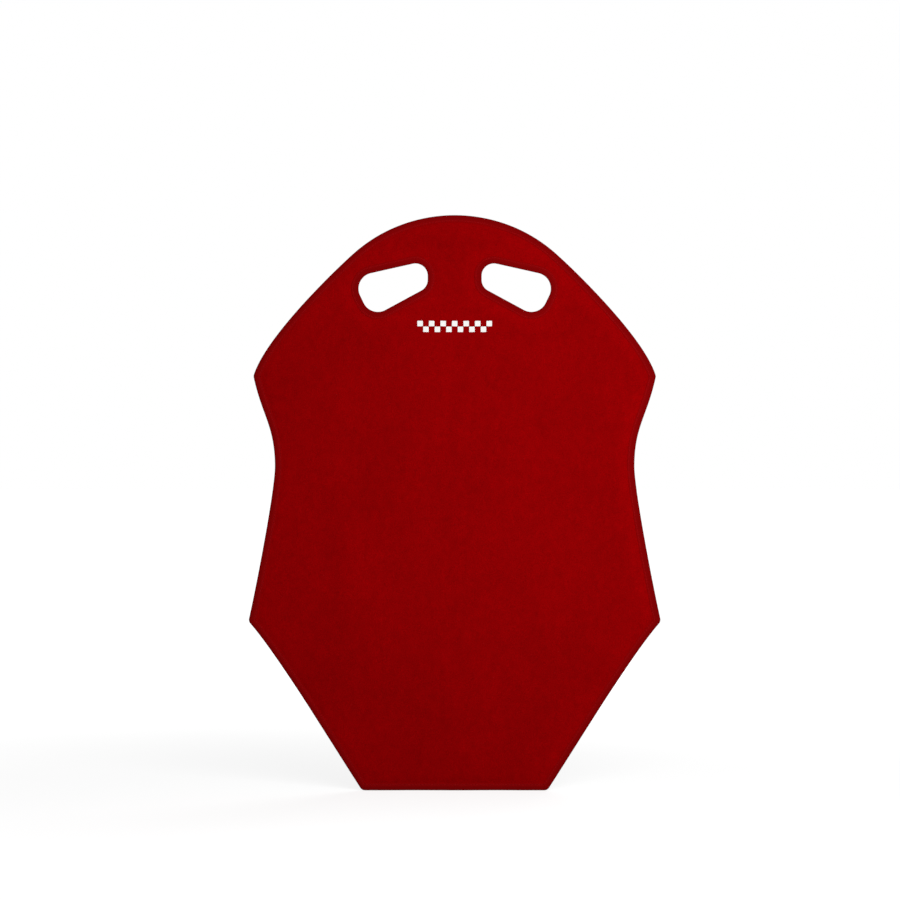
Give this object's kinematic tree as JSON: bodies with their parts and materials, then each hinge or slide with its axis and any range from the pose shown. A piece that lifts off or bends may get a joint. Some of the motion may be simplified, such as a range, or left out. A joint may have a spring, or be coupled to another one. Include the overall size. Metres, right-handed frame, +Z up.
{
  "type": "racing seat back protector",
  "caption": "Padded velour cover for the back of a bucket racing seat, bound at its edge and round two harness slots, held by hook-and-loop pads.",
  "frame": {"origin": "centre of the centre pad's adhesive face, which lies on the back of the seat shell midway between the harness slots", "axes": "+Z up along the seat back, as the cover hangs; +X to the viewer's right, seen facing the velour; +Y into the seat shell, so the velour faces -Y"},
  "size_m": [0.5728, 0.0106, 0.8],
  "materials": {
    "velour": "deep red velour, laminated",
    "foam": "open-cell polyether foam",
    "lining": "brushed warp-knit tricot",
    "seam_thread": "bonded polyester thread",
    "binding_tape": "woven grosgrain tape",
    "print": "heat-transfer film",
    "loop_tape": "napped nylon loop",
    "patch_thread": "bonded polyester thread",
    "hook_tape": "moulded nylon hooks",
    "adhesive": "white acrylic foam tape"
  },
  "bodies": {
    "shell_pads": {"hook_pad_centre": "hook_tape", "hook_pad_crown": "hook_tape", "hook_pad_shoulder_right": "hook_tape", "hook_pad_shoulder_left": "hook_tape", "hook_pad_waist_right": "hook_tape", "hook_pad_waist_left": "hook_tape", "hook_pad_hip_right": "hook_tape", "hook_pad_hip_left": "hook_tape", "hook_pad_foot_right": "hook_tape", "hook_pad_foot_left": "hook_tape", "adhesive_centre": "adhesive", "adhesive_crown": "adhesive", "adhesive_shoulder_right": "adhesive", "adhesive_shoulder_left": "adhesive", "adhesive_waist_right": "adhesive", "adhesive_waist_left": "adhesive", "adhesive_hip_right": "adhesive", "adhesive_hip_left": "adhesive", "adhesive_foot_right": "adhesive", "adhesive_foot_left": "adhesive"},
    "cover": {"face_panel": "velour", "foam_core": "foam", "lining": "lining", "outer_binding": "binding_tape", "slot_binding_left": "binding_tape", "slot_binding_right": "binding_tape", "outer_binding_thread": "seam_thread", "slot_binding_thread_left": "seam_thread", "slot_binding_thread_right": "seam_thread", "transfer_print": "print", "loop_patch_centre": "loop_tape", "loop_patch_crown": "loop_tape", "loop_patch_shoulder_right": "loop_tape", "loop_patch_shoulder_left": "loop_tape", "loop_patch_waist_right": "loop_tape", "loop_patch_waist_left": "loop_tape", "loop_patch_hip_right": "loop_tape", "loop_patch_hip_left": "loop_tape", "loop_patch_foot_right": "loop_tape", "loop_patch_foot_left": "loop_tape", "patch_thread_centre": "patch_thread", "patch_thread_crown": "patch_thread", "patch_thread_shoulder_right": "patch_thread", "patch_thread_shoulder_left": "patch_thread", "patch_thread_waist_right": "patch_thread", "patch_thread_waist_left": "patch_thread", "patch_thread_hip_right": "patch_thread", "patch_thread_hip_left": "patch_thread", "patch_thread_foot_right": "patch_thread", "patch_thread_foot_left": "patch_thread"}
  },
  "joints": [
    {"name": "cover_pull", "type": "slide", "parent": "shell_pads", "child": "cover", "axis": [0, -1, 0], "range_m": [0, 0.06]}
  ]
}
